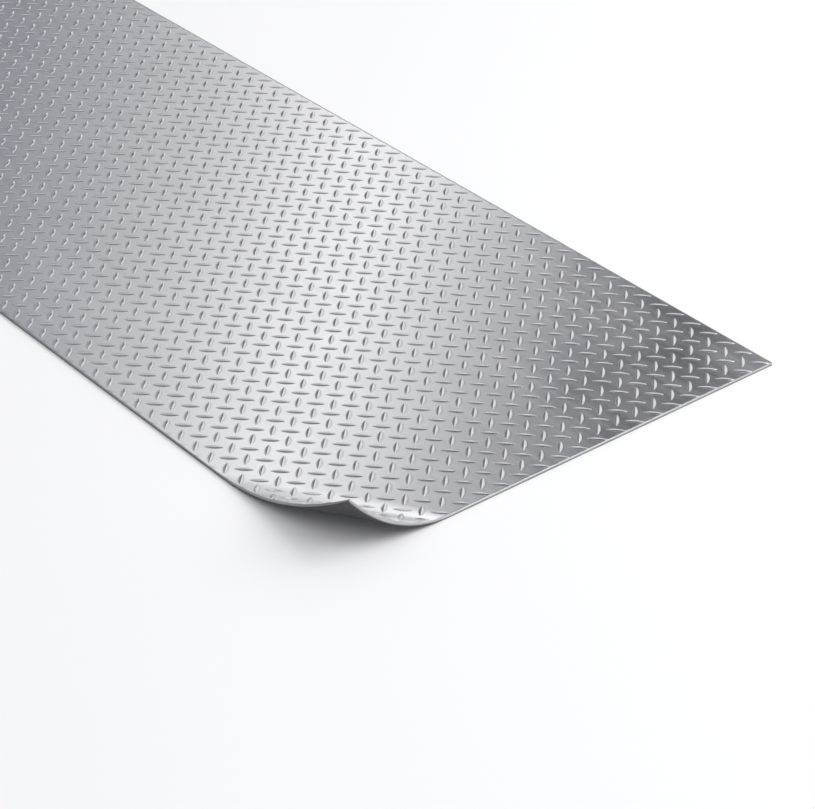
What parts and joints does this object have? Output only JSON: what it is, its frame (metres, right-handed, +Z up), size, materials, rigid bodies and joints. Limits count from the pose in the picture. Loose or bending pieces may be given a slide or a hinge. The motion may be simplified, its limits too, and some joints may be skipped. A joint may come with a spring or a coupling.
{
  "type": "checker steel plate",
  "caption": "Flat steel floor plate with raised lens-shaped lugs in alternating directions on its top face, and one corner bent up in a smooth curl.",
  "frame": {"origin": "middle of the sheet's length and width, on the floor at the underside of the level part", "axes": "+X along the sheet's length, towards the short edge with the curled corner; +Y across the sheet, away from the curled corner; +Z up, out of the face with the lugs"},
  "size_m": [2.5002, 1.0003, 0.1078],
  "materials": {
    "steel": "bare rolled steel, satin, cool grey"
  },
  "bodies": {
    "root": {"checker_plate": "steel"}
  },
  "joints": []
}
